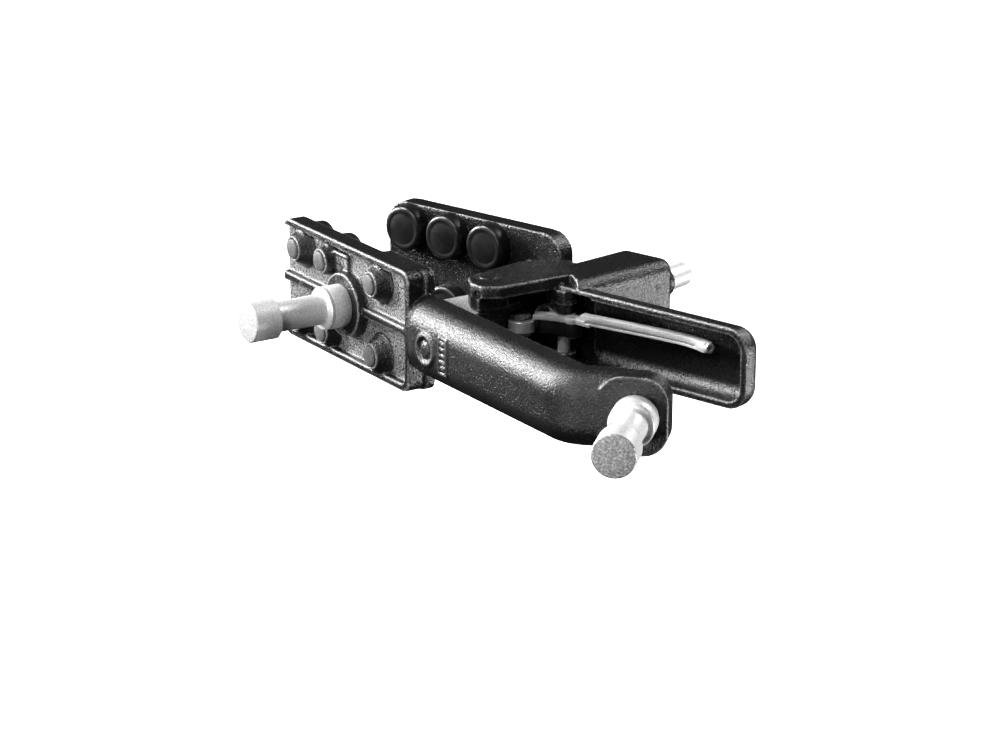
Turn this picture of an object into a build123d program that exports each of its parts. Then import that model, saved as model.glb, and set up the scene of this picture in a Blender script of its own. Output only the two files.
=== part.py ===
from build123d import *
import math
import os

os.makedirs("parts", exist_ok=True)

# ---- driving dimensions, mm. Origin: axis of the gripped tube at mid height, +Z along the tube,
# +X from the fixed jaw to the moving jaw, -Y towards the two handles.
GRIP_R = 21.2            # 42.4 mm tube between the jaws at rest

PLATE_FRONT = -34.4      # rim face of the fixed plate
PLATE_WEB = -31.9        # sunk face between the rims
PLATE_BACK = -26.4       # face towards the tube
PLATE_Y = 47.0           # near end; the far end is open, its ribs run out
PLATE_FAR = 46.2
PLATE_Z = 23.7
RIM = 3.0
PAD_Y = (33.0, 12.5, -24.5)
PAD_Z = 14.2
PAD_R = 9.2
PLUG_R = 4.0
STUD_Y = -1.5
BOSS_FACE = -36.2

STUD_R = 8.0             # 16 mm lighting stud
STUD_NECK_R = 5.9
STUD_FOOT_R = 8.4
STUD_CAP = 11.4
STUD_NECK = 20.8
STUD_FOOT = 9.2

ARM_H = 14.5
ARM_WALL = 4.0
ARM_FRONT = -37.7
ARM_MOUTH = -24.5
ARM_STUD_BASE = (-17.8, -169.9)
ARM_STUD_ANGLE = 45.8    # degrees from -Y towards -X

PIVOT = (-2.0, -52.0)
PIVOT_R = 3.5
BUSH_R = 4.5
TONGUE_Z = 8.0
FLANGE_IN = 13.6
FLANGE_OUT = 18.5
ROLLER = (8.2, -59.5)
ROLLER_R = 5.2
ROLLER_Z = 2.4
NOSE_Z = 4.4             # half height of the ears that carry the roller

ANCHOR = (-13.5, -43.2)  # post for the return spring's fixed leg

LOCK = (22.3, -67.4)
LOCK_R = 2.5
CAM_R = 5.0
CAM_Z = 2.65             # half height of the cam
ROOT_Z = (2.8, 4.6)      # flat root of the lever
STRIP_Z = (3.2, 6.8)     # folded strip
ROOT_LINE = [(12.2, -61.8), (16.9, -66.6), (22.0, -75.2), (24.6, -83.0)]
RIVET = (21.5, -74.4)
LEVER_LINE = [(22.8, -78.6), (25.8, -85.6), (32.7, -101.7), (38.8, -117.0), (40.8, -125.0), (41.2, -132.5)]

JAW_ANGLE = 17.0
JAW_FACE = 27.4          # plate face from the tube axis, along the jaw's own normal
JAW_BACK = 35.4
JAW_S = (-48.3, 40.0)
JAW_PAD_S = (-14.0, 7.0, 28.0)

MOUTH_A = (21.8, -74.9)
MOUTH_B = (43.9, -151.7)
HANDLE_H = 15.4
HANDLE_DEPTH = 10.5
HANDLE_WALL = 2.8

PIN_R = 4.75
PIN_SHANK_R = 4.0


def prism(points, z0, z1):
    face = make_face(Polyline(*points, close=True))
    return extrude(face.moved(Location((0, 0, z0))), z1 - z0, dir=(0, 0, 1))


def cyl(r, a, b):
    a = Vector(*a)
    b = Vector(*b)
    plane = Plane(origin=a, z_dir=b - a)
    return extrude(plane * Circle(r), (b - a).length)


def vcyl(r, xy, z0, z1):
    return cyl(r, (xy[0], xy[1], z0), (xy[0], xy[1], z1))


def box(x0, x1, y0, y1, z0, z1):
    size = (x1 - x0, y1 - y0, z1 - z0)
    mid = ((x0 + x1) / 2, (y0 + y1) / 2, (z0 + z1) / 2)
    return Pos(*mid) * Box(*size)


def near_edges(shape, points, tol=0.8):
    found = []
    for e in shape.edges():
        m = e.position_at(0.5)
        for p in points:
            if (m - Vector(*p)).length < tol:
                found.append(e)
                break
    return found


def soften(shape, edges, r):
    if not edges:
        return shape
    try:
        return fillet(edges, r)
    except ValueError:
        return shape


def yz_plate(y0, y1, z0, z1, x0, x1, r):
    mid = ((y0 + y1) / 2, (z0 + z1) / 2)
    sketch = Plane(origin=(x0, mid[0], mid[1]), x_dir=(0, 1, 0), z_dir=(1, 0, 0)) \
        * RectangleRounded(y1 - y0, z1 - z0, r)
    return extrude(sketch, x1 - x0)


def stud(base, direction):
    d = Vector(*direction).normalized()
    a = Vector(*base)

    def at(s):
        p = a + d * s
        return (p.X, p.Y, p.Z)
    e1 = STUD_FOOT
    e2 = e1 + STUD_NECK
    e3 = e2 + STUD_CAP
    foot = chamfer(cyl(STUD_FOOT_R, at(0), at(e1)).edges(), 0.5)
    neck = cyl(STUD_NECK_R, at(e1 - 0.6), at(e2 + 0.6))
    cap = chamfer(cyl(STUD_R, at(e2), at(e3)).edges(), 0.5)
    body = foot + neck + cap
    return body - cyl(3.3, at(-1), at(14))


def stud_screw(base, direction, grip):
    d = Vector(*direction).normalized()
    a = Vector(*base)

    def at(s):
        p = a + d * s
        return (p.X, p.Y, p.Z)
    shank = cyl(3.3, at(-grip), at(12))
    head = cyl(5.6, at(-grip - 4.2), at(-grip))
    key = Plane(origin=at(-grip - 4.2), z_dir=d) * RegularPolygon(2.9, 6)
    return shank + head - extrude(key, 2.4)


# ---- fixed jaw casting
def arm_outer():
    bx, by = ARM_STUD_BASE
    n = arm_normal()
    t = (-n[1], n[0])
    bend = (ARM_FRONT, by + (ARM_FRONT - bx) * t[1] / t[0])
    end = (bx + 12.0 * t[0], by + 12.0 * t[1])
    back = (end[0] - 10.0 * n[0], end[1] - 10.0 * n[1])
    inner = (ARM_MOUTH, back[1] + (ARM_MOUTH - back[0]) * t[1] / t[0])
    pts = [(ARM_FRONT + 4.0, -45.5), (ARM_FRONT, -53.0), bend, end, back, inner,
           (ARM_MOUTH, -38.0)]
    body = prism(pts, -ARM_H, ARM_H)
    body = fillet(near_edges(body, [(bend[0], bend[1], 0)]), 20)
    body = soften(body, near_edges(body, [(ARM_FRONT, -53.0, 0)]), 10.0)
    front = []
    for e in body.edges():
        m = e.position_at(0.5)
        s = (m.X - bx) * n[0] + (m.Y - by) * n[1]
        if abs(abs(m.Z) - ARM_H) < 0.01 and m.Y < -54 and (m.X < -34 or s > -3.0):
            front.append(e)
    body = soften(body, front, 9.5)
    trim = end_pad(-170.0, 11.4, 130.0)
    return (body & trim) + end_pad(-14.0, 11.4, 9.5)


def end_pad(t0, t1, depth):
    # rounded flat pad on the arm's slanted end, t along the face
    n = arm_normal()
    plane = Plane(origin=(ARM_STUD_BASE[0], ARM_STUD_BASE[1], 0), x_dir=(-n[1], n[0], 0), z_dir=(-n[0], -n[1], 0))
    outline = Pos((t0 + t1) / 2, 0) * RectangleRounded(t1 - t0, 2 * ARM_H, 9.3)
    body = extrude(plane * outline, depth)
    if depth > 20:
        body = body + extrude(plane * outline, -30)
    return body


def arm_hollow():
    x0 = ARM_FRONT + ARM_WALL
    z1 = ARM_H - ARM_WALL
    pts = [(x0, -72.0), (x0, -141.0), (x0 + 3, -146.0), (-14.0, -146.0), (-14.0, -72.0)]
    body = prism(pts, -z1, z1)
    front = []
    for e in body.edges():
        m = e.position_at(0.5)
        if abs(abs(m.Z) - z1) < 0.01 and m.X < x0 + 2:
            front.append(e)
    return soften(body, front, 5.0)


def tongue():
    x, y = ROLLER
    pts = [(-30, -37.5), (0.5, -37.5), (6.5, -43.0), (9.8, -48.5), (11.0, -54.0), (10.2, -55.9),
           (-10.7, -59.5), (-20.0, -66.5), (-30, -70.0)]
    body = prism(pts, -TONGUE_Z, TONGUE_Z)
    body = soften(body, near_edges(body, [(p[0], p[1], 0) for p in pts[1:4]]), 2.4)
    body = soften(body, body.edges().filter_by_position(Axis.Z, TONGUE_Z - 0.01, TONGUE_Z + 0.01), 0.6)
    body = body + vcyl(3.4, ROLLER, -NOSE_Z, NOSE_Z)
    return body + prism([(2.0, -54.0), (10.6, -54.0), (x + 3.35, y - 0.5), (x - 3.0, y - 1.6)], -NOSE_Z, NOSE_Z)


def plug_boss(y, z, foot):
    # tapered boss round a pad's plug
    place = Plane(origin=(PLATE_WEB + 0.5, y, z), x_dir=(0, 1, 0), z_dir=(-1, 0, 0))
    return place * Cone(foot, PLUG_R + 0.9, 6.3, align=(Align.CENTER, Align.CENTER, Align.MIN))


def make_fixed_jaw():
    plate = yz_plate(-PLATE_Y, PLATE_FAR, -PLATE_Z, PLATE_Z, PLATE_FRONT, PLATE_BACK, 4.5)
    sunk = yz_plate(-PLATE_Y + RIM, PLATE_FAR + 8, -PLATE_Z + RIM, PLATE_Z - RIM,
                    PLATE_FRONT - 1, PLATE_WEB, 3.0)
    plate = plate - sunk
    thick = yz_plate(-PLATE_Y - 1.0, -13.5, -PLATE_Z, PLATE_Z, PLATE_BACK - 0.5, -22.9, 4.0)
    plate = plate + thick
    plate = plate + box(PLATE_FRONT, PLATE_WEB + 0.5, -PLATE_Y + RIM / 2, PLATE_FAR, -1.8, 1.8)
    plate = plate + cyl(12.5, (PLATE_WEB + 0.5, STUD_Y, 0), (BOSS_FACE, STUD_Y, 0))
    for y, foot in zip(PAD_Y, (8.0, 6.6, 8.0)):
        for z in (-PAD_Z, PAD_Z):
            plate = plate + plug_boss(y, z, foot)
    body = plate + arm_outer() + tongue()
    body = body - arm_hollow()
    for y in PAD_Y:
        for z in (-PAD_Z, PAD_Z):
            body = body - cyl(PLUG_R, (-45, y, z), (-10, y, z))
            body = body - cyl(PAD_R + 0.1, (PLATE_BACK - 0.8, y, z), (-15, y, z))
    body = body - cyl(3.3, (-45, STUD_Y, 0), (-10, STUD_Y, 0))
    body = body - cyl(5.9, (-29.4, STUD_Y, 0), (-10, STUD_Y, 0))
    body = body - vcyl(BUSH_R, PIVOT, -20, 20)
    body = body - vcyl(ROLLER_R + 0.9, ROLLER, -ROLLER_Z - 0.3, ROLLER_Z + 0.3)
    body = body - box(ROLLER[0], 16, ROLLER[1] - 8, ROLLER[1] + ROLLER_R, -ROLLER_Z - 0.3, ROLLER_Z + 0.3)
    body = body - vcyl(1.6, ROLLER, -NOSE_Z - 1, NOSE_Z + 1)
    body = body - vcyl(1.5, ANCHOR, -20, -2)
    n = arm_normal()
    b = ARM_STUD_BASE
    p0 = (b[0] + n[0] * 5, b[1] + n[1] * 5, 0)
    p1 = (b[0] - n[0] * 40, b[1] - n[1] * 40, 0)
    body = body - cyl(3.3, p0, p1)
    p2 = (b[0] - n[0] * 4.8, b[1] - n[1] * 4.8, 0)
    body = body - cyl(6.0, p2, p1)
    return body


def arm_normal():
    a = math.radians(ARM_STUD_ANGLE)
    return (-math.sin(a), -math.cos(a), 0)


def pad(face, seat, tip, y, z, rot):
    disc = cyl(PAD_R, (seat, y, z), (face, y, z))
    rim = disc.edges().group_by(Axis.X)[-1 if rot == 0 else 0]
    disc = fillet(rim, 1.6)
    return disc + cyl(PLUG_R, (seat, y, z), (tip, y, z))


def make_fixed_pads():
    pads = []
    for y in PAD_Y:
        for z in (-PAD_Z, PAD_Z):
            p = pad(-GRIP_R - 0.3, PLATE_BACK - 0.8, -38.4, y, z, 0)
            pads.append(p)
    return Compound(pads)


def make_plate_stud():
    return stud((BOSS_FACE, STUD_Y, 0), (-1, 0, 0))


def make_plate_stud_screw():
    return stud_screw((BOSS_FACE, STUD_Y, 0), (-1, 0, 0), 6.8)


def make_arm_stud():
    b = ARM_STUD_BASE
    return stud((b[0], b[1], 0), arm_normal())


def make_arm_stud_screw():
    b = ARM_STUD_BASE
    return stud_screw((b[0], b[1], 0), arm_normal(), 4.8)


def make_tongue_bush():
    return vcyl(BUSH_R, PIVOT, -TONGUE_Z, TONGUE_Z) - vcyl(PIVOT_R + 0.05, PIVOT, -20, 20)


def make_nose_roller():
    body = vcyl(ROLLER_R, ROLLER, -ROLLER_Z, ROLLER_Z)
    body = fillet(body.edges(), 0.6)
    return body - vcyl(1.65, ROLLER, -20, 20)


def make_nose_roller_pin():
    return vcyl(1.6, ROLLER, -NOSE_Z, NOSE_Z)


def make_spring_anchor():
    return vcyl(1.5, ANCHOR, -12.6, -2.0)


# ---- moving jaw casting
def jaw_place():
    return Rot(0, 0, JAW_ANGLE)


def handle_frame():
    dx = MOUTH_B[0] - MOUTH_A[0]
    dy = MOUTH_B[1] - MOUTH_A[1]
    length = math.hypot(dx, dy)
    return length, Plane(origin=(MOUTH_A[0], MOUTH_A[1], 0), x_dir=(-dy, dx, 0), z_dir=(0, 0, 1))


def handle_shell(x0, depth, y0, y1, half, corner, back):
    # box with rounded far corners, then its back edges rounded
    body = box(x0, depth, y0, y1, -half, half)
    body = fillet(body.edges().filter_by(Axis.X).group_by(Axis.Y)[0], corner)
    edges = body.edges().group_by(Axis.X)[-1].filter_by(lambda e: e.position_at(0.5).Y < y1 - 0.1)
    return fillet(edges, back)


def handle_outer():
    length, plane = handle_frame()
    return plane.location * handle_shell(0, HANDLE_DEPTH, -length, 8, HANDLE_H, 8.5, 6.5)


def handle_hollow():
    length, plane = handle_frame()
    w = HANDLE_WALL
    return plane.location * handle_shell(-6, HANDLE_DEPTH - w, -length + w, -4.5, HANDLE_H - w, 6.0, 4.5)


FLANGE_PTS = [(-8.8, -48.0), (-12.0, -55.0), (-11.4, -61.2), (-4.8, -65.2), (26.2, -65.7), (30.0, -60.0),
              (37.2, -50.3), (28.0, -43.8), (19.4, -40.5), (8.0, -42.8)]
BLOCK_PTS = [(28.0, -51.0), (37.2, -50.3), (65.4, -45.5), (71.8, -66.5), (68.5, -71.5), (22.2, -76.6),
             (26.2, -65.7), (22.0, -62.0)]


def make_moving_jaw():
    flange = prism(FLANGE_PTS, -FLANGE_OUT, FLANGE_OUT)
    flange = soften(flange, near_edges(flange, [(p[0], p[1], 0) for p in FLANGE_PTS if p[0] < 26]), 2.5)
    flange = soften(flange, flange.edges().group_by(Axis.Z)[-1], 0.8)
    block = prism(BLOCK_PTS, -FLANGE_OUT, FLANGE_OUT)
    block = soften(block, near_edges(block, [(65.4, -45.5, 0), (71.8, -66.5, 0), (68.5, -71.5, 0)]), 2.5)
    near = []
    for e in block.edges():
        m = e.position_at(0.5)
        if abs(abs(m.Z) - FLANGE_OUT) < 0.01 and m.Y < -71.0 and m.X > 30:
            near.append(e)
    block = soften(block, near, 5.0)
    neck = prism([(15.5, -44.0), (24.0, -37.0), (35.4, -22.0), (44.0, -18.0), (52.0, -40.0), (60.0, -50.0),
                  (32.0, -54.0)], -11.5, 11.5)
    neck = soften(neck, near_edges(neck, [(24.0, -37.0, 0)]), 8.0)
    plate = jaw_place() * yz_plate(JAW_S[0], JAW_S[1], -24.0, 24.0, JAW_FACE, JAW_BACK, 9.0)
    body = flange + block + neck + plate + handle_outer()
    cavity = prism([(-30, -35), (-6, -45.5), (15.5, -46.5), (29.6, -50.0), (29.6, -82.0),
                    (-30, -86)], -FLANGE_IN, FLANGE_IN)
    body = body - cavity - vcyl(14.2, PIVOT, -8.4, 8.4)
    boss_pts = [(-8.6, -48.2), (-11.8, -55.0), (-11.4, -59.6), (1.2, -61.4), (6.0, -55.0), (5.0, -46.0)]
    body = body + prism(boss_pts, 8.3, FLANGE_IN + 0.5)
    low = prism(boss_pts, -FLANGE_IN - 0.5, -8.3) - vcyl(9.2, PIVOT, -FLANGE_IN, -5)
    low = low - box(3.0, 12.0, -70, -50, -FLANGE_IN, -5)
    body = body - vcyl(9.2, PIVOT, -FLANGE_IN, -5)
    body = body + low.solids().sort_by(SortBy.VOLUME)[-1]
    body = body + box(5.4, 8.4, -63.0, -58.0, -FLANGE_IN - 0.5, -10.5)
    body = body - handle_hollow()
    lug_pts = [(18.2, -68.4), (19.4, -71.2), (22.3, -72.2), (25.2, -71.4), (27.2, -68.0), (26.0, -60.0),
               (19.0, -60.0)]
    body = body + prism(lug_pts, 8.5, FLANGE_IN + 0.5) + prism(lug_pts, -FLANGE_IN - 0.5, -10.4)
    body = body - vcyl(PIVOT_R, PIVOT, -30, 30)
    body = body - vcyl(LOCK_R, LOCK, -13.2, 13.2)
    for s in JAW_PAD_S:
        for z in (-14.5, 14.5):
            hole = cyl(PLUG_R, (JAW_FACE - 1, s, z), (JAW_BACK + 9, s, z))
            seat = cyl(PAD_R + 0.1, (JAW_FACE - 4, s, z), (JAW_FACE + 0.8, s, z))
            body = body - jaw_place() * hole
            body = body - jaw_place() * seat
    body = body - cyl(4.9, spring_at(0), spring_at(14.2))
    a, b = pin_line()
    body = body + cyl(6.2, lerp(a, b, -11.0), lerp(a, b, -0.15))
    body = body - cyl(PIN_SHANK_R, lerp(a, b, -12.5), lerp(a, b, 6))
    core = prism([(45.5, -54.0), (60.0, -51.5), (64.5, -64.0), (62.5, -67.0), (46.0, -69.0)], -25, 4.0)
    core = core - cyl(8.4, lerp(a, b, -25), lerp(a, b, 4))
    body = body - core
    body = body - cyl(2.0, pin_screw_at(0), pin_screw_at(-14))
    body = body - cyl(2.1, pivot_screw_at(0.0), pivot_screw_at(14.0))
    return body


def lerp(a, b, s):
    d = (Vector(*b) - Vector(*a)).normalized()
    p = Vector(*a) + d * s
    return (p.X, p.Y, p.Z)


def pin_line():
    # axis of the small pin: out of the block's end face, square to it
    c = math.radians(JAW_ANGLE)
    start = Vector(70.9, -63.5, 8.3)
    return (start.X, start.Y, start.Z), (start.X + math.cos(c), start.Y + math.sin(c), start.Z)


def pin_screw_at(s):
    a, b = pin_line()
    p = lerp(a, b, -7.0)
    return (p[0], p[1], p[2] - 4.0 + s)


def pivot_screw_at(s):
    d = Vector(-0.82, -0.57, 0)
    p = Vector(PIVOT[0], PIVOT[1], 15.2) + d * (3.0 + s)
    return (p.X, p.Y, p.Z)


def make_moving_pads():
    pads = []
    for s in JAW_PAD_S:
        for z in (-14.5, 14.5):
            p = pad(GRIP_R + 0.3, JAW_FACE + 0.8, JAW_BACK + 1.5, s, z, 1)
            pads.append(jaw_place() * p)
    return Compound(pads)


def make_jaw_pin():
    a, b = pin_line()
    body = cyl(PIN_R, a, lerp(a, b, 14.5))
    tip = body.faces().sort_by(Axis(a, Vector(*b) - Vector(*a)))[-1]
    return fillet(tip.edges(), 3.4) + cyl(PIN_SHANK_R, lerp(a, b, -12.4), lerp(a, b, 0.5))


def make_jaw_pin_screw():
    return cyl(2.0, pin_screw_at(-0.8), pin_screw_at(-6.0))


def make_pivot_pin():
    pin = vcyl(PIVOT_R, PIVOT, -21.6, 18.9)
    pin = chamfer(pin.edges().group_by(Axis.Z)[-1], 0.4)
    groove = vcyl(6, PIVOT, -20.2, -18.9) - vcyl(2.8, PIVOT, -21, -18)
    return pin - groove


def make_pivot_screw():
    body = cyl(2.1, pivot_screw_at(0.55), pivot_screw_at(8.5))
    d = Vector(*pivot_screw_at(1)) - Vector(*pivot_screw_at(0))
    key = Plane(origin=pivot_screw_at(7.0), z_dir=d) * RegularPolygon(1.15, 6)
    return body - extrude(key, 2.5)


def make_pivot_clip():
    ring = vcyl(6.4, PIVOT, -20.1, -19.0) - vcyl(2.8, PIVOT, -21, -18)
    return ring - box(PIVOT[0] - 1.6, PIVOT[0] + 1.6, PIVOT[1] - 8, PIVOT[1], -21, -18)


def make_return_spring():
    wire = 0.75
    r = 6.4
    z0 = -12.6
    turns = Helix(1.6, 1.6 * 2.25, r, center=(PIVOT[0], PIVOT[1], z0))
    start = turns.position_at(0)
    end = turns.position_at(1)
    coil = sweep(Plane(origin=start, z_dir=turns.tangent_at(0)) * Circle(wire), path=turns)
    fixed_leg = cyl(wire, (end.X + 1.2, end.Y, end.Z - 0.03), (end.X - 13.0, end.Y, end.Z))
    moving_leg = cyl(wire, (start.X, start.Y + 1.2, start.Z + 0.03), (start.X, start.Y - 10.5, start.Z))
    return coil + fixed_leg + moving_leg


def make_lock_pin():
    groove = vcyl(5, LOCK, -CAM_Z - 1.05, -CAM_Z - 0.1) - vcyl(1.9, LOCK, -10, 0)
    return vcyl(LOCK_R, LOCK, -13.2, 13.2) - groove


def make_lock_spacer():
    return vcyl(3.6, LOCK, ROOT_Z[1] + 0.15, 8.45) - vcyl(LOCK_R, LOCK, -30, 30)


def make_lock_clip():
    ring = vcyl(4.6, LOCK, -CAM_Z - 1.0, -CAM_Z - 0.15) - vcyl(1.9, LOCK, -10, 0)
    return ring - box(LOCK[0] - 1.2, LOCK[0] + 1.2, LOCK[1], LOCK[1] + 7, -10, 0)


def smooth_line(points, steps=5):
    # Catmull-Rom points through a bent line
    ends = [points[0]] + list(points) + [points[-1]]
    out = []
    for i in range(1, len(ends) - 2):
        p0, p1, p2, p3 = ends[i - 1:i + 3]
        for k in range(steps):
            t = k / steps
            xy = []
            for c in (0, 1):
                xy.append(0.5 * (2 * p1[c] + (p2[c] - p0[c]) * t
                                 + (2 * p0[c] - 5 * p1[c] + 4 * p2[c] - p3[c]) * t * t
                                 + (3 * p1[c] - p0[c] - 3 * p2[c] + p3[c]) * t ** 3))
            out.append(tuple(xy))
    return out + [points[-1]]


def ribbon(points, half, z0, z1):
    left = []
    right = []
    for i, p in enumerate(points):
        a = points[max(i - 1, 0)]
        b = points[min(i + 1, len(points) - 1)]
        dx = b[0] - a[0]
        dy = b[1] - a[1]
        k = half / math.hypot(dx, dy)
        left.append((p[0] - dy * k, p[1] + dx * k))
        right.append((p[0] + dy * k, p[1] - dx * k))
    return prism(left + right[::-1], z0, z1)


def make_lock_lever():
    body = ribbon(smooth_line(ROOT_LINE), 2.6, ROOT_Z[0], ROOT_Z[1]) + vcyl(4.2, LOCK, ROOT_Z[0], ROOT_Z[1])
    body = body + vcyl(3.4, RIVET, ROOT_Z[0], ROOT_Z[1])
    body = body - ribbon(smooth_line(ROOT_LINE)[:11], 1.4, ROOT_Z[0] + 0.9, 9) - vcyl(1.3, RIVET, ROOT_Z[0] + 0.9, 9)
    line = smooth_line(LEVER_LINE)
    body = body + ribbon(line, 1.7, STRIP_Z[0], STRIP_Z[1])
    groove = ribbon(line[2:-4], 1.1, STRIP_Z[0] + 0.8, STRIP_Z[0] + 1.6)
    body = body - groove.moved(Location((-1.5, -0.6, 0)))
    tip = LEVER_LINE[-1]
    mid = (STRIP_Z[0] + STRIP_Z[1]) / 2
    roll = cyl(1.9, (tip[0] - 0.2, tip[1] + 3.0, mid), (tip[0], tip[1] - 1.2, mid))
    body = body + roll - cyl(0.9, (tip[0], tip[1] + 1.5, mid), (tip[0], tip[1] - 3.0, mid))
    body = body - vcyl(LOCK_R + 0.05, LOCK, -20, 20)
    return body - vcyl(0.8, RIVET, -20, 20)


def make_lock_cam():
    x, y = LOCK
    body = vcyl(CAM_R, LOCK, -CAM_Z, CAM_Z) + vcyl(3.2, RIVET, -CAM_Z, CAM_Z)
    body = body + prism([(x - 4.4, y - 2.2), (x + 3.0, y - 3.4), (23.4, -77.6), (18.0, -75.4)], -CAM_Z, CAM_Z)
    nose = [(x - 2.4, y - 4.3), (12.7, -65.2), (13.6, -62.9), (15.6, -60.4), (16.0, -57.4), (16.7, -57.4),
            (16.9, -61.2), (x - 1.0, y + 4.8)]
    body = body + prism(nose, -CAM_Z, CAM_Z)
    body = body - vcyl(LOCK_R + 0.05, LOCK, -20, 20)
    return body - vcyl(0.8, RIVET, -20, 20)


def make_lock_rivets():
    shank = vcyl(0.8, RIVET, -CAM_Z - 0.4, ROOT_Z[0] + 1.3)
    top = vcyl(1.25, RIVET, ROOT_Z[0] + 0.9, ROOT_Z[0] + 1.5)
    low = vcyl(1.6, RIVET, -CAM_Z - 0.7, -CAM_Z)
    return shank + top + low


def spring_at(s):
    d = Vector(math.cos(math.radians(JAW_ANGLE)), math.sin(math.radians(JAW_ANGLE)), 0)
    p = Vector(18.3, -58.75, 1.5) + d * s
    return (p.X, p.Y, p.Z)


def make_lock_spring():
    wire = 0.55
    r = 3.9
    path = Helix(2.05, 12.4, r, center=(0, 0, 0))
    start = path.position_at(0)
    coil = sweep(Plane(origin=start, z_dir=path.tangent_at(0)) * Circle(wire), path=path)
    a = spring_at(0.7)
    b = spring_at(1.7)
    place = Plane(origin=a, z_dir=Vector(*b) - Vector(*a))
    return place.location * coil


PARTS = {
    "fixed_jaw": make_fixed_jaw,
    "fixed_pads": make_fixed_pads,
    "plate_stud": make_plate_stud,
    "plate_stud_screw": make_plate_stud_screw,
    "arm_stud": make_arm_stud,
    "arm_stud_screw": make_arm_stud_screw,
    "tongue_bush": make_tongue_bush,
    "nose_roller": make_nose_roller,
    "nose_roller_pin": make_nose_roller_pin,
    "spring_anchor": make_spring_anchor,
    "moving_jaw": make_moving_jaw,
    "moving_pads": make_moving_pads,
    "jaw_pin": make_jaw_pin,
    "jaw_pin_screw": make_jaw_pin_screw,
    "pivot_pin": make_pivot_pin,
    "pivot_screw": make_pivot_screw,
    "pivot_clip": make_pivot_clip,
    "return_spring": make_return_spring,
    "lock_pin": make_lock_pin,
    "lock_spacer": make_lock_spacer,
    "lock_clip": make_lock_clip,
    "lock_lever": make_lock_lever,
    "lock_cam": make_lock_cam,
    "lock_rivets": make_lock_rivets,
    "lock_spring": make_lock_spring,
}

for name, make in PARTS.items():
    shape = make()
    print(name, len(shape.solids()), round(shape.volume, 1), flush=True)
    export_step(shape, "parts/" + name + ".step")
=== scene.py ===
import math

import bmesh
import bpy
import numpy as np
from mathutils import Matrix, Vector


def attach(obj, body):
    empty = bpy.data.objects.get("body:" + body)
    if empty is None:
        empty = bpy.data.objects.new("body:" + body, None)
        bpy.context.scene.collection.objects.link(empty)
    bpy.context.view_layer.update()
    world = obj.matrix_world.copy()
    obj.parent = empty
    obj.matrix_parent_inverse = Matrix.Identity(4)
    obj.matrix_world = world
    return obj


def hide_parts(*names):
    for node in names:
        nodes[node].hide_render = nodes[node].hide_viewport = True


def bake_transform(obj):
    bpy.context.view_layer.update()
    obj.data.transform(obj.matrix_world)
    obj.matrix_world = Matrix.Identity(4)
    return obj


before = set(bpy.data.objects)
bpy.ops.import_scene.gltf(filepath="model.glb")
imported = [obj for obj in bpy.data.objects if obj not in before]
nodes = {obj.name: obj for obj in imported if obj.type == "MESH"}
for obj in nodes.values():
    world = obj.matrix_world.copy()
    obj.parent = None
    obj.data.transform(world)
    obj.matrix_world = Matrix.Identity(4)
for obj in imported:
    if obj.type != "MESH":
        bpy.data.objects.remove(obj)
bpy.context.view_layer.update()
MM = 0.001
COLOR_A, COLOR_B, COLOR_OUT = 6, 7, 2  # a Mix node's colour sockets
PLUG_ROWS, PLUG_Z = (33.0, 12.5, -24.5), 14.2  # the fixed jaw's pads, mm
BEVEL_ANGLE = 32  # an edge sharper than this many degrees is broken


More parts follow.
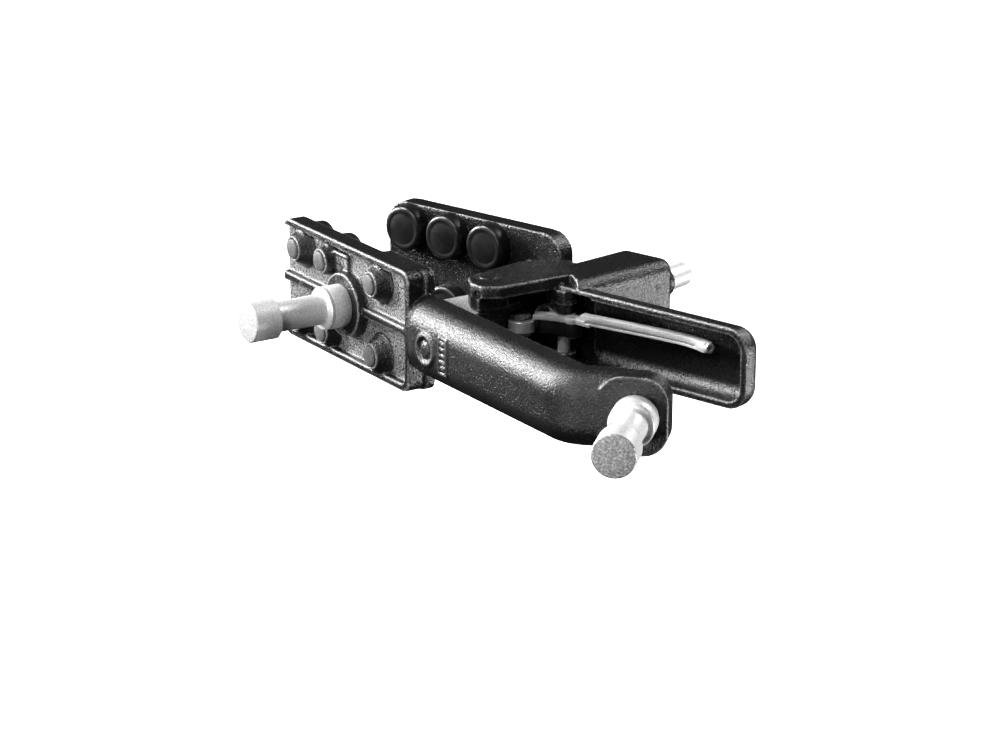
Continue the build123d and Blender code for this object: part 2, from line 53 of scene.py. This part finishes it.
# ---------------------------------------------------------------- materials
class Nodes:
    """Short helper for building one procedural material."""

    def __init__(self, name):
        self.mat = bpy.data.materials.new(name)
        self.mat.use_nodes = True
        self.tree = self.mat.node_tree
        self.tree.nodes.clear()
        self.out = self.add("ShaderNodeOutputMaterial")
        self.bsdf = self.add("ShaderNodeBsdfPrincipled")
        self.link(self.bsdf, "BSDF", self.out, "Surface")
        self.coord = self.add("ShaderNodeTexCoord")

    def add(self, kind, **values):
        n = self.tree.nodes.new(kind)
        for k, v in values.items():
            setattr(n, k, v)
        return n

    def link(self, a, a_out, b, b_in):
        self.tree.links.new(a.outputs[a_out], b.inputs[b_in])

    def set(self, **values):
        for k, v in values.items():
            self.bsdf.inputs[k.replace("_", " ")].default_value = v

    def noise(self, scale, detail=3.0, rough=0.55, stretch=None):
        n = self.add("ShaderNodeTexNoise")
        n.inputs["Scale"].default_value = scale
        n.inputs["Detail"].default_value = detail
        n.inputs["Roughness"].default_value = rough
        if stretch:
            m = self.add("ShaderNodeMapping")
            m.inputs["Scale"].default_value = stretch
            self.link(self.coord, "Object", m, "Vector")
            self.link(m, "Vector", n, "Vector")
        else:
            self.link(self.coord, "Object", n, "Vector")
        return n

    def ramp(self, source, out, stops):
        r = self.add("ShaderNodeValToRGB")
        while len(r.color_ramp.elements) < len(stops):
            r.color_ramp.elements.new(0.5)
        for e, (p, c) in zip(r.color_ramp.elements, stops):
            e.position = p
            e.color = (*c, 1.0)
        self.link(source, out, r, "Fac")
        return r

    def span(self, source, out, lo, hi, a, b):
        m = self.add("ShaderNodeMapRange")
        m.inputs["From Min"].default_value = lo
        m.inputs["From Max"].default_value = hi
        m.inputs["To Min"].default_value = a
        m.inputs["To Max"].default_value = b
        self.link(source, out, m, "Value")
        return m

    def mix(self, fac, fac_out, a, b):
        """a and b: a colour each, or a node and the name or number of its output."""
        m = self.add("ShaderNodeMix", data_type="RGBA")
        self.link(fac, fac_out, m, "Factor")
        for slot, value in ((COLOR_A, a), (COLOR_B, b)):
            if isinstance(value[0], float):
                m.inputs[slot].default_value = (*value, 1.0)
            else:
                self.link(*value, m, slot)
        return m

    def bump(self, layers):
        last = None
        for source, out, strength, distance in layers:
            b = self.add("ShaderNodeBump")
            b.inputs["Strength"].default_value = strength
            b.inputs["Distance"].default_value = distance
            self.link(source, out, b, "Height")
            if last:
                self.link(last, "Normal", b, "Normal")
            last = b
        self.link(last, "Normal", self.bsdf, "Normal")


def cast_black():
    """Black coat. Vertex attributes say where it is painted lighter: convex edges (edge wear and a painted edge
    highlight), a painted grey sheen, and a painted light grey reflection.
    """
    m = Nodes("cast_black")
    fine = m.noise(1250, 2, 0.7)
    grit = m.noise(3200, 2, 0.5)
    broad = m.noise(60, 4, 0.55)
    edge_wear_and_highlight = m.add("ShaderNodeAttribute", attribute_name="edge_wear_and_highlight")
    painted_sheen = m.add("ShaderNodeAttribute", attribute_name="painted_sheen")
    painted_reflection = m.add("ShaderNodeAttribute", attribute_name="painted_reflection")
    base = m.ramp(broad, "Fac", [(0.3, (0.0035, 0.0036, 0.004)), (0.7, (0.008, 0.008, 0.0085))])
    patch = m.add("ShaderNodeMath", operation="MULTIPLY")
    grain = m.span(fine, "Fac", 0.38, 0.6, 0.15, 1.0)
    m.link(edge_wear_and_highlight, "Fac", patch, 0)
    m.link(grain, "Result", patch, 1)
    # convex edges painted mid grey: edge wear, and a painted edge highlight
    worn_and_lit = m.mix(patch, "Value", (base, "Color"), (0.5, 0.5, 0.5))
    # flat faces painted grey and grainy: a painted sheen of the left light
    sheen_tone = m.ramp(fine, "Fac", [(0.40, (0.01, 0.01, 0.0105)), (0.60, (0.26, 0.26, 0.262))])
    sheened = m.mix(painted_sheen, "Fac", (worn_and_lit, COLOR_OUT), (sheen_tone, "Color"))
    # tongue faces painted light grey: a painted reflection of the back light
    reflection_tone = m.ramp(fine, "Fac", [(0.36, (0.20, 0.20, 0.202)), (0.62, (0.55, 0.55, 0.548))])
    final = m.mix(painted_reflection, "Fac", (sheened, COLOR_OUT), (reflection_tone, "Color"))
    m.link(final, COLOR_OUT, m.bsdf, "Base Color")
    rough = m.span(fine, "Fac", 0.3, 0.7, 0.24, 0.36)
    m.link(rough, "Result", m.bsdf, "Roughness")
    m.set(Specular_IOR_Level=0.5)
    m.bump([(broad, "Fac", 0.15, 0.0004), (fine, "Fac", 1.0, 0.00036), (grit, "Fac", 0.4, 0.00006)])
    return m.mat


def turned_alloy(name, axis):
    """A stud's turned side, with fine rings round the given axis (0 is x, 1 is y)."""
    m = Nodes(name)
    stretch = [1.0, 1.0, 1.0]
    stretch[axis] = 9.0
    rings = m.noise(240, 3, 0.6, tuple(stretch))
    grain = m.noise(1500, 3, 0.6)
    tone = m.ramp(grain, "Fac", [(0.3, (0.50, 0.50, 0.505)), (0.65, (0.82, 0.82, 0.815))])
    m.link(tone, "Color", m.bsdf, "Base Color")
    rough = m.span(rings, "Fac", 0.3, 0.7, 0.32, 0.46)
    m.set(Metallic=0.35)
    m.bump([(rings, "Fac", 0.18, 0.0002), (grain, "Fac", 0.4, 0.00018)])
    m.link(rough, "Result", m.bsdf, "Roughness")
    return m.mat


def turned_end(name, dark):
    """A stud's end face, speckled from the given dark tone to a bright one."""
    m = Nodes(name)
    speck = m.noise(1150, 3, 0.75)
    stops = [(0.34, (dark,) * 3), (0.5, ((dark + 0.5) / 2,) * 3), (0.66, (0.66, 0.66, 0.66))]
    tone = m.ramp(speck, "Fac", stops)
    m.link(tone, "Color", m.bsdf, "Base Color")
    rough = m.span(speck, "Fac", 0.3, 0.7, 0.42, 0.6)
    m.set(Metallic=0.75)
    m.bump([(speck, "Fac", 0.6, 0.0003)])
    m.link(rough, "Result", m.bsdf, "Roughness")
    return m.mat


def steel(name, low, high, rough_lo=0.18, rough_hi=0.24):
    m = Nodes(name)
    brushed = m.noise(420, 4, 0.65, (1.0, 1.0, 6.0))
    grain = m.noise(1700, 2, 0.5)
    tone = m.ramp(brushed, "Fac", [(0.3, (low,) * 3), (0.7, (high,) * 3)])
    m.link(tone, "Color", m.bsdf, "Base Color")
    rough = m.span(grain, "Fac", 0.3, 0.7, rough_lo, rough_hi)
    m.link(rough, "Result", m.bsdf, "Roughness")
    m.set(Metallic=0.6)
    m.bump([(brushed, "Fac", 0.05, 0.00002)])
    return m.mat


def plated(name):
    """Bright plated steel strip, a little milky."""
    m = Nodes(name)
    long = m.noise(300, 3, 0.55, (1.0, 1.0, 5.0))
    grain = m.noise(1500, 2, 0.5)
    tone = m.ramp(long, "Fac", [(0.3, (0.62, 0.62, 0.622)), (0.7, (0.84, 0.84, 0.84))])
    m.link(tone, "Color", m.bsdf, "Base Color")
    m.link(m.span(grain, "Fac", 0.3, 0.7, 0.27, 0.31), "Result", m.bsdf, "Roughness")
    m.set(Metallic=0.35)
    m.bump([(long, "Fac", 0.04, 0.00002)])
    return m.mat


def bronze():
    m = Nodes("bronze")
    pores = m.noise(1900, 4, 0.7)
    tone = m.ramp(pores, "Fac", [(0.35, (0.25, 0.16, 0.08)), (0.6, (0.62, 0.44, 0.24))])
    m.link(tone, "Color", m.bsdf, "Base Color")
    m.link(m.span(pores, "Fac", 0.3, 0.7, 0.3, 0.5), "Result", m.bsdf, "Roughness")
    m.set(Metallic=1.0)
    m.bump([(pores, "Fac", 0.4, 0.0001)])
    return m.mat


def rubber():
    m = Nodes("rubber")
    fine = m.noise(1700, 3, 0.6)
    bloom = m.noise(120, 4, 0.6)
    tone = m.ramp(bloom, "Fac", [(0.3, (0.004, 0.004, 0.0042)), (0.72, (0.010, 0.010, 0.0102))])
    m.link(tone, "Color", m.bsdf, "Base Color")
    m.link(m.span(bloom, "Fac", 0.3, 0.7, 0.26, 0.38), "Result", m.bsdf, "Roughness")
    m.bump([(fine, "Fac", 0.3, 0.00004), (bloom, "Fac", 0.1, 0.0002)])
    return m.mat


def post_rubber():
    m = Nodes("post_tip")
    speck = m.noise(1500, 3, 0.7)
    tone = m.ramp(speck, "Fac", [(0.35, (0.02, 0.02, 0.021)), (0.65, (0.12, 0.12, 0.121))])
    m.link(tone, "Color", m.bsdf, "Base Color")
    m.link(m.span(speck, "Fac", 0.3, 0.7, 0.4, 0.6), "Result", m.bsdf, "Roughness")
    m.bump([(speck, "Fac", 0.5, 0.0002)])
    return m.mat


CAST = cast_black()
RUBBER = rubber()
POST = post_rubber()
STEEL = steel("bright_steel", 0.66, 0.88)
DARK = steel("blackened_steel", 0.012, 0.03, 0.3, 0.45)
PLATED = plated("plated_strip")
BRONZE = bronze()
ALLOY_X = turned_alloy("stud_alloy_x", 0)
ALLOY_Y = turned_alloy("stud_alloy_y", 1)
END_ROUGH = turned_end("stud_end_rough", 0.16)
END_FINE = turned_end("stud_end_fine", 0.42)


# ---------------------------------------------------------------- pieces
def new_object(name, mesh):
    o = bpy.data.objects.new(name, mesh)
    bpy.context.scene.collection.objects.link(o)
    return o


def smooth(o, angle=None):
    for p in o.data.polygons:
        p.use_smooth = True
    if angle:
        o.data.set_sharp_from_angle(angle=math.radians(angle))


def source_mesh(name):
    bm = bmesh.new()
    bm.from_mesh(nodes[name].data)
    bmesh.ops.remove_doubles(bm, verts=bm.verts, dist=2e-6)
    return bm


def finish_piece(o, body, cad, material):
    if material:
        o.data.materials.clear()
        o.data.materials.append(material)
    if isinstance(body, dict):
        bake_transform(o)
    else:
        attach(o, body)
    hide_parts(*cad)
    return o


def baked(o):
    dg = bpy.context.evaluated_depsgraph_get()
    dg.update()
    mesh = bpy.data.meshes.new_from_object(o.evaluated_get(dg))
    name = o.name
    bpy.data.objects.remove(o)
    return new_object(name, mesh)


def fine_copy(name, body, material, bevel):
    """A CAD node's own shape with its edges broken, as a machined or stamped piece has them."""
    bm = source_mesh(name)
    bmesh.ops.dissolve_limit(bm, angle_limit=math.radians(0.4), verts=bm.verts, edges=bm.edges)
    mesh = bpy.data.meshes.new(name + "_fine")
    bm.to_mesh(mesh)
    bm.free()
    o = new_object(name + "_fine", mesh)
    if bevel:
        m = o.modifiers.new("edges", "BEVEL")
        m.width = bevel * MM
        m.segments = 2
        m.limit_method = "ANGLE"
        m.angle_limit = math.radians(BEVEL_ANGLE)
        m.use_clamp_overlap = True
        o = baked(o)
    smooth(o, 40)
    return finish_piece(o, body, [name], material)


def block(bm, center, size):
    """A closed box, joined into bm before it is remeshed."""
    m = Matrix.Translation(Vector(center) * MM)
    m = m @ Matrix.Diagonal((size[0] * MM, size[1] * MM, size[2] * MM, 1.0))
    bmesh.ops.create_cube(bm, size=1.0, matrix=m)


def drum(bm, center, r, depth, axis):
    """A closed cylinder."""
    rot = Vector((0, 0, 1)).rotation_difference(Vector(axis)).to_matrix().to_4x4()
    m = Matrix.Translation(Vector(center) * MM) @ rot
    bmesh.ops.create_cone(bm, cap_ends=True, segments=48, radius1=r * MM, radius2=r * MM,
                          depth=depth * MM, matrix=m)


def hoop(bm, center, r, wire, axis):
    """A closed torus."""
    turns, sides = 48, 10
    rot = Vector((0, 0, 1)).rotation_difference(Vector(axis)).to_matrix()
    c = Vector(center)
    grid = []
    for i in range(turns):
        a = 2 * math.pi * i / turns
        ring = []
        for k in range(sides):
            b = 2 * math.pi * k / sides
            p = Vector(((r + wire * math.cos(b)) * math.cos(a), (r + wire * math.cos(b)) * math.sin(a),
                        wire * math.sin(b)))
            ring.append(bm.verts.new((c + rot @ p) * MM))
        grid.append(ring)
    for i in range(turns):
        for k in range(sides):
            j, n = (i + 1) % turns, (k + 1) % sides
            bm.faces.new((grid[i][k], grid[j][k], grid[j][n], grid[i][n]))


def add_edge_wear_and_highlight(mesh):
    """Vertex attribute that is 1 on convex edges, where the black coat is painted lighter: edge wear together
    with a painted edge highlight.

    Gives back each vertex's place in mm and its normal.
    """
    n = len(mesh.vertices)
    co = np.empty(n * 3)
    mesh.vertices.foreach_get("co", co)
    co = co.reshape(-1, 3)
    no = np.empty(n * 3)
    mesh.vertices.foreach_get("normal", no)
    no = no.reshape(-1, 3)
    ed = np.empty(len(mesh.edges) * 2, dtype=np.int64)
    mesh.edges.foreach_get("vertices", ed)
    ed = ed.reshape(-1, 2)

    def spread(v):
        total = np.zeros_like(v)
        count = np.zeros(n)
        np.add.at(total, ed[:, 0], v[ed[:, 1]])
        np.add.at(total, ed[:, 1], v[ed[:, 0]])
        np.add.at(count, ed[:, 0], 1)
        np.add.at(count, ed[:, 1], 1)
        count = np.maximum(count, 1)
        return total / (count[:, None] if v.ndim > 1 else count)

    lap = spread(co) - co
    size = np.linalg.norm(co[ed[:, 0]] - co[ed[:, 1]], axis=1).mean()
    convex = -(lap * no).sum(axis=1) / size
    for _ in range(2):
        convex = 0.5 * convex + 0.5 * spread(convex)
    edge_wear_and_highlight = np.clip((convex - 0.05) * 8.0, 0.0, 1.0)
    put(mesh, "edge_wear_and_highlight", edge_wear_and_highlight)
    return co / MM, no


def put(mesh, name, values):
    attr = mesh.attributes.new(name, "FLOAT", "POINT")
    attr.data.foreach_set("value", values.astype(np.float32))


def fixed_zones(mesh, co, no):
    """Painted grey sheen on the plate's flat web faces that face the left light, kept black round the post
    bosses and the stud boss, and a painted reflection of the back light on the tongue's flat faces.
    """
    x, y, z = co.T
    painted_sheen = (no[:, 0] < -0.85) & (x > -32.7) & (x < -30) & (y > -45) & (np.abs(z) < 21)
    for py, r in zip(PLUG_ROWS, (8.6, 7.2, 8.6)):
        for pz in (-PLUG_Z, PLUG_Z):
            painted_sheen &= np.hypot(y - py, z - pz) > r
    painted_sheen &= np.hypot(y + 1.5, z) > 13.2
    # the raised patch's face gets the same painted sheen
    raised = (no[:, 0] < -0.85) & (x < -32.7) & (x > -33.9) & (y > -3) & (y < 9) & (z > 8) & (z < 18.4)
    put(mesh, "painted_sheen", (painted_sheen | raised) * 1.0)
    # a painted reflection of the back light on the tongue's flat faces, top and bottom
    painted_reflection = (np.abs(no[:, 2]) > 0.9) & (np.abs(np.abs(z) - 8.0) < 0.3) & (x > -24) & (y < -36.5)
    put(mesh, "painted_reflection", painted_reflection * 1.0)


def moving_zones(mesh, co, no):
    """Painted highlight: the coat painted grey along the handle's inner lower corner, on the faces turned
    towards the light from above.
    """
    x, y, z = co.T
    inside = (y < -80) & (y > -149) & (z < -1) & (no[:, 0] < -0.05)
    fillet_highlight = np.clip(1.0 - np.abs(no[:, 2] - 0.55) / 0.5, 0.0, 1.0) * inside
    put(mesh, "painted_sheen", fillet_highlight * 0.8)
    put(mesh, "painted_reflection", np.zeros(len(co)))


def casting(name, body, extra, zones, voxel):
    """The CAD casting with its extra cast detail, remeshed so that its edges get a casting's small radius."""
    bm = source_mesh(name)
    extra(bm)
    bmesh.ops.recalc_face_normals(bm, faces=bm.faces)
    mesh = bpy.data.meshes.new(name + "_cast")
    bm.to_mesh(mesh)
    bm.free()
    o = new_object(name + "_cast", mesh)
    r = o.modifiers.new("skin", "REMESH")
    r.mode = "VOXEL"
    r.voxel_size = voxel * MM
    s = o.modifiers.new("round", "SMOOTH")
    s.factor = 0.5
    s.iterations = 3
    o = baked(o)
    smooth(o)
    zones(o.data, *add_edge_wear_and_highlight(o.data))
    return finish_piece(o, body, [name], CAST)


def fixed_detail(bm):
    front = -37.7
    # raised patch above the boss with a short ledge at its top
    block(bm, (-32.3, 3.6, 13.0), (1.8, 10.0, 12.0))
    block(bm, (-33.0, 3.0, 18.7), (2.6, 9.6, 1.2))
    # generic cast marks on the arm: a plain ring and a plain framed bar with ticks
    hoop(bm, (front - 0.1, -64.6, -0.5), 5.4, 0.9, (1, 0, 0))
    drum(bm, (front - 0.1, -64.6, -0.5), 2.4, 1.2, (1, 0, 0))
    for dz in (-6.9, 6.9):
        block(bm, (front, -76.5, dz), (1.2, 5.4, 0.9))
    for dy in (-2.4, 2.4):
        block(bm, (front, -76.5 + dy, 0), (1.2, 0.9, 14.4))
    for i in range(5):
        block(bm, (front, -76.5, -4.8 + 2.4 * i), (1.3, 2.8, 1.0))


def moving_detail(bm):
    drum(bm, (13.5, -55.0, 18.45), 1.1, 0.5, (0, 0, 1))
    hoop(bm, (-2.0, -52.0, 18.5), 4.9, 0.35, (0, 0, 1))


def lathe(name, profile, place, materials, seg):
    """profile: (distance along the axis, radius, material index) from one end to the other, mm."""
    bm = bmesh.new()
    rings = []
    for s, r, _ in profile:
        ring = []
        for i in range(seg):
            a = 2 * math.pi * i / seg
            ring.append(bm.verts.new(place @ (Vector((r * math.cos(a), r * math.sin(a), s)) * MM)))
        rings.append(ring)
    for k in range(len(rings) - 1):
        for i in range(seg):
            j = (i + 1) % seg
            f = bm.faces.new((rings[k][i], rings[k][j], rings[k + 1][j], rings[k + 1][i]))
            f.material_index = profile[k + 1][2]
    f = bm.faces.new(rings[0][::-1])
    f.material_index = profile[0][2]
    f = bm.faces.new(rings[-1])
    f.material_index = profile[-1][2]
    bmesh.ops.recalc_face_normals(bm, faces=bm.faces)
    mesh = bpy.data.meshes.new(name)
    bm.to_mesh(mesh)
    bm.free()
    for m in materials:
        mesh.materials.append(m)
    o = new_object(name, mesh)
    smooth(o, 38)
    return o


def axis_place(base, direction):
    rot = Vector((0, 0, 1)).rotation_difference(Vector(direction)).to_matrix().to_4x4()
    return Matrix.Translation(Vector(base) * MM) @ rot


def stud_piece(name, base, direction, side, end):
    prof = [(0.0, 7.6, 0), (0.0, 8.1, 0), (0.5, 8.4, 0), (7.0, 8.4, 0), (7.3, 8.25, 0), (7.7, 8.4, 0),
            (8.7, 8.4, 0), (9.2, 7.9, 0), (9.3, 6.6, 0), (9.7, 6.05, 0), (10.4, 5.9, 0), (19.6, 5.87, 0),
            (29.0, 5.9, 0), (29.6, 6.1, 0), (29.9, 6.8, 0), (30.0, 7.5, 0), (30.5, 8.0, 0), (35.6, 7.99, 0),
            (40.9, 8.0, 0), (41.35, 7.6, 1), (41.4, 7.2, 1), (41.4, 3.5, 1), (41.4, 0.4, 1)]
    o = lathe(name + "_turned", prof, axis_place(base, direction), [side, end], 96)
    return finish_piece(o, "fixed_body", [name], None)


def pad_group(name, body, places, face, seat, tip):
    """Round rubber pads with a dished face and their plugs; all in one piece, as the CAD has them."""
    prof = [(face, 0.3, 0), (face, 5.4, 0), (face + 0.25, 6.1, 0), (face + 0.25, 6.5, 0), (face, 7.1, 0),
            (face + 0.12, 8.1, 0), (face + 0.6, 8.8, 0), (face + 1.4, 9.15, 0), (seat, 9.2, 0), (seat, 4.05, 0),
            (tip - 0.8, 3.98, 0), (tip - 0.25, 3.75, 1), (tip, 3.2, 1), (tip, 0.3, 1)]
    bm = bmesh.new()
    for place in places:
        o = lathe("part", prof, place, [RUBBER, POST], 56)
        bm.from_mesh(o.data)
        bpy.data.objects.remove(o)
    mesh = bpy.data.meshes.new(name + "_moulded")
    bm.to_mesh(mesh)
    bm.free()
    mesh.materials.append(RUBBER)
    mesh.materials.append(POST)
    o = new_object(name + "_moulded", mesh)
    smooth(o, 40)
    return finish_piece(o, body, [name], None)


VOXEL = 0.5
casting("fixed_jaw", "fixed_body", fixed_detail, fixed_zones, VOXEL)
casting("moving_jaw", "moving_body", moving_detail, moving_zones, VOXEL)

stud_piece("plate_stud", (-36.2, -1.5, 0), (-1, 0, 0), ALLOY_X, END_FINE)
ARM_END = math.radians(45.8)  # the slope of the arm's end face
stud_piece("arm_stud", (-17.8, -169.9, 0), (-math.sin(ARM_END), -math.cos(ARM_END), 0), ALLOY_Y, END_ROUGH)

fixed_places = []
for y in PLUG_ROWS:
    for z in (-PLUG_Z, PLUG_Z):
        fixed_places.append(axis_place((0, y, z), (-1, 0, 0)))
pad_group("fixed_pads", "fixed_body", fixed_places, 21.5, 27.1, 38.4)
JAW_LEAN = 17  # degrees between the moving jaw plate and the fixed one
turn = Matrix.Rotation(math.radians(JAW_LEAN), 4, "Z")
moving_places = []
for s in (-14.0, 7.0, 28.0):
    for z in (-14.5, 14.5):
        moving_places.append(turn @ axis_place((0, s, z), (1, 0, 0)))
pad_group("moving_pads", "moving_body", moving_places, 21.5, 28.1, 36.8)

# the springs are baked in place, not attached to a body; each table names a body for its ends a and b, and
# gives a start and an end place
RETURN_ENDS = {"a": "moving_body", "b": "fixed_body", "start": (-0.002, -0.052, -0.0126),
               "end": (-0.002, -0.052, -0.0092)}
LOCK_ENDS = {"a": "lock_body", "b": "moving_body", "start": (0.0192, -0.0585, 0.0015),
             "end": (0.0305, -0.0550, 0.0015)}

for name, body, material, bevel in [
    ("plate_stud_screw", "fixed_body", STEEL, 0.2), ("arm_stud_screw", "fixed_body", STEEL, 0.2),
    ("tongue_bush", "fixed_body", BRONZE, 0.15), ("nose_roller", "roller_body", STEEL, 0),
    ("nose_roller_pin", "fixed_body", STEEL, 0.2), ("spring_anchor", "fixed_body", STEEL, 0.2),
    ("jaw_pin", "moving_body", ALLOY_X, 0), ("jaw_pin_screw", "moving_body", STEEL, 0.2),
    ("pivot_pin", "moving_body", DARK, 0.2), ("pivot_screw", "moving_body", DARK, 0.2),
    ("pivot_clip", "moving_body", STEEL, 0.1), ("return_spring", RETURN_ENDS, STEEL, 0),
    ("lock_pin", "moving_body", STEEL, 0.2), ("lock_spacer", "moving_body", DARK, 0.2),
    ("lock_clip", "moving_body", DARK, 0.1), ("lock_spring", LOCK_ENDS, PLATED, 0),
    ("lock_lever", "lock_body", PLATED, 0.7), ("lock_cam", "lock_body", DARK, 0.25),
    ("lock_rivets", "lock_body", STEEL, 0.15),
]:
    fine_copy(name, body, material, bevel)


# ---------------------------------------------------------------- stage, light, camera
floor_mat = Nodes("floor")
soft = floor_mat.noise(3.0, 3, 0.5)
tone = floor_mat.ramp(soft, "Fac", [(0.3, (0.86, 0.86, 0.86)), (0.7, (0.89, 0.89, 0.89))])
floor_mat.link(tone, "Color", floor_mat.bsdf, "Base Color")
floor_mat.link(tone, "Color", floor_mat.bsdf, "Emission Color")
floor_mat.set(Roughness=0.9, Specular_IOR_Level=0.1, Emission_Strength=0.9)
mesh = bpy.data.meshes.new("floor")
FLOOR_HALF, FLOOR_Z = 8, -0.16
corners = [(x * FLOOR_HALF, y * FLOOR_HALF, FLOOR_Z) for x, y in ((-1, -1), (1, -1), (1, 1), (-1, 1))]
mesh.from_pydata(corners, [], [(0, 1, 2, 3)])
mesh.materials.append(floor_mat.mat)
floor = new_object("floor", mesh)
floor.visible_glossy = False
floor.visible_diffuse = False
floor.visible_shadow = False
glow = bpy.data.materials.new("backdrop")
glow.use_nodes = True
sockets = glow.node_tree.nodes["Principled BSDF"].inputs
sockets["Base Color"].default_value = (0, 0, 0, 1)
sockets["Emission Color"].default_value = (1, 1, 1, 1)
sockets["Emission Strength"].default_value = 0.93
bm = bmesh.new()
bmesh.ops.create_icosphere(bm, subdivisions=4, radius=7.5)
mesh = bpy.data.meshes.new("backdrop")
bm.to_mesh(mesh)
bm.free()
mesh.materials.append(glow)
backdrop = new_object("backdrop", mesh)
for flag in ("visible_glossy", "visible_diffuse", "visible_shadow", "visible_transmission"):
    setattr(backdrop, flag, False)

world = bpy.data.worlds.new("studio")
bpy.context.scene.world = world
world.use_nodes = True
sockets = world.node_tree.nodes["Background"].inputs
sockets["Color"].default_value = (1.0, 1.0, 1.0, 1.0)
sockets["Strength"].default_value = 0.02


def area(name, place, target, size, power, size_y=None):
    lamp = bpy.data.lights.new(name, "AREA")
    lamp.energy = power
    lamp.shape = "RECTANGLE"
    lamp.size = size
    lamp.size_y = size_y or size
    o = bpy.data.objects.new(name, lamp)
    bpy.context.scene.collection.objects.link(o)
    o.location = place
    o.rotation_euler = (Vector(target) - Vector(place)).to_track_quat("-Z", "Y").to_euler()


area("back_left", (-0.78, 1.15, 0.43), (0, -0.08, 0), 0.36, 62, 0.5)
area("high_left", (-0.67, 0.62, 1.0), (0, -0.08, 0), 0.36, 22)
area("top", (-0.75, -0.35, 0.95), (0, -0.08, 0), 0.5, 7)
area("front_right", (1.15, -0.95, -0.42), (0.03, -0.08, 0), 0.40, 28)
area("right", (1.0, -0.1, 0.75), (0.03, -0.08, 0), 0.35, 12)
area("left", (-1.3, -0.6, 0.05), (0, -0.08, 0), 0.4, 12)

# the camera: its direction, its distance and its sideways and downward shift in metres
DISTANCE, SIDE, DOWN = 1.31068, 0.03133, 0.03333
AZ, EL, ROLL = math.radians(-33.35), math.radians(18.35), math.radians(0.24)
back = Vector((math.sin(AZ) * math.cos(EL), -math.cos(AZ) * math.cos(EL), math.sin(EL)))
right0 = Vector((math.cos(AZ), math.sin(AZ), 0))
up0 = back.cross(right0)
right = right0 * math.cos(ROLL) + up0 * math.sin(ROLL)
up = up0 * math.cos(ROLL) - right0 * math.sin(ROLL)
lens = bpy.data.cameras.new("camera")
lens.sensor_width = 36
lens.lens = 121.24
cam = bpy.data.objects.new("camera", lens)
bpy.context.scene.collection.objects.link(cam)
cam.matrix_world = Matrix.Translation(back * DISTANCE + right * SIDE - up * DOWN) @ Matrix(
    (right, up, back)).transposed().to_4x4()
bpy.context.scene.camera = cam
bpy.context.scene.view_settings.view_transform = "Standard"
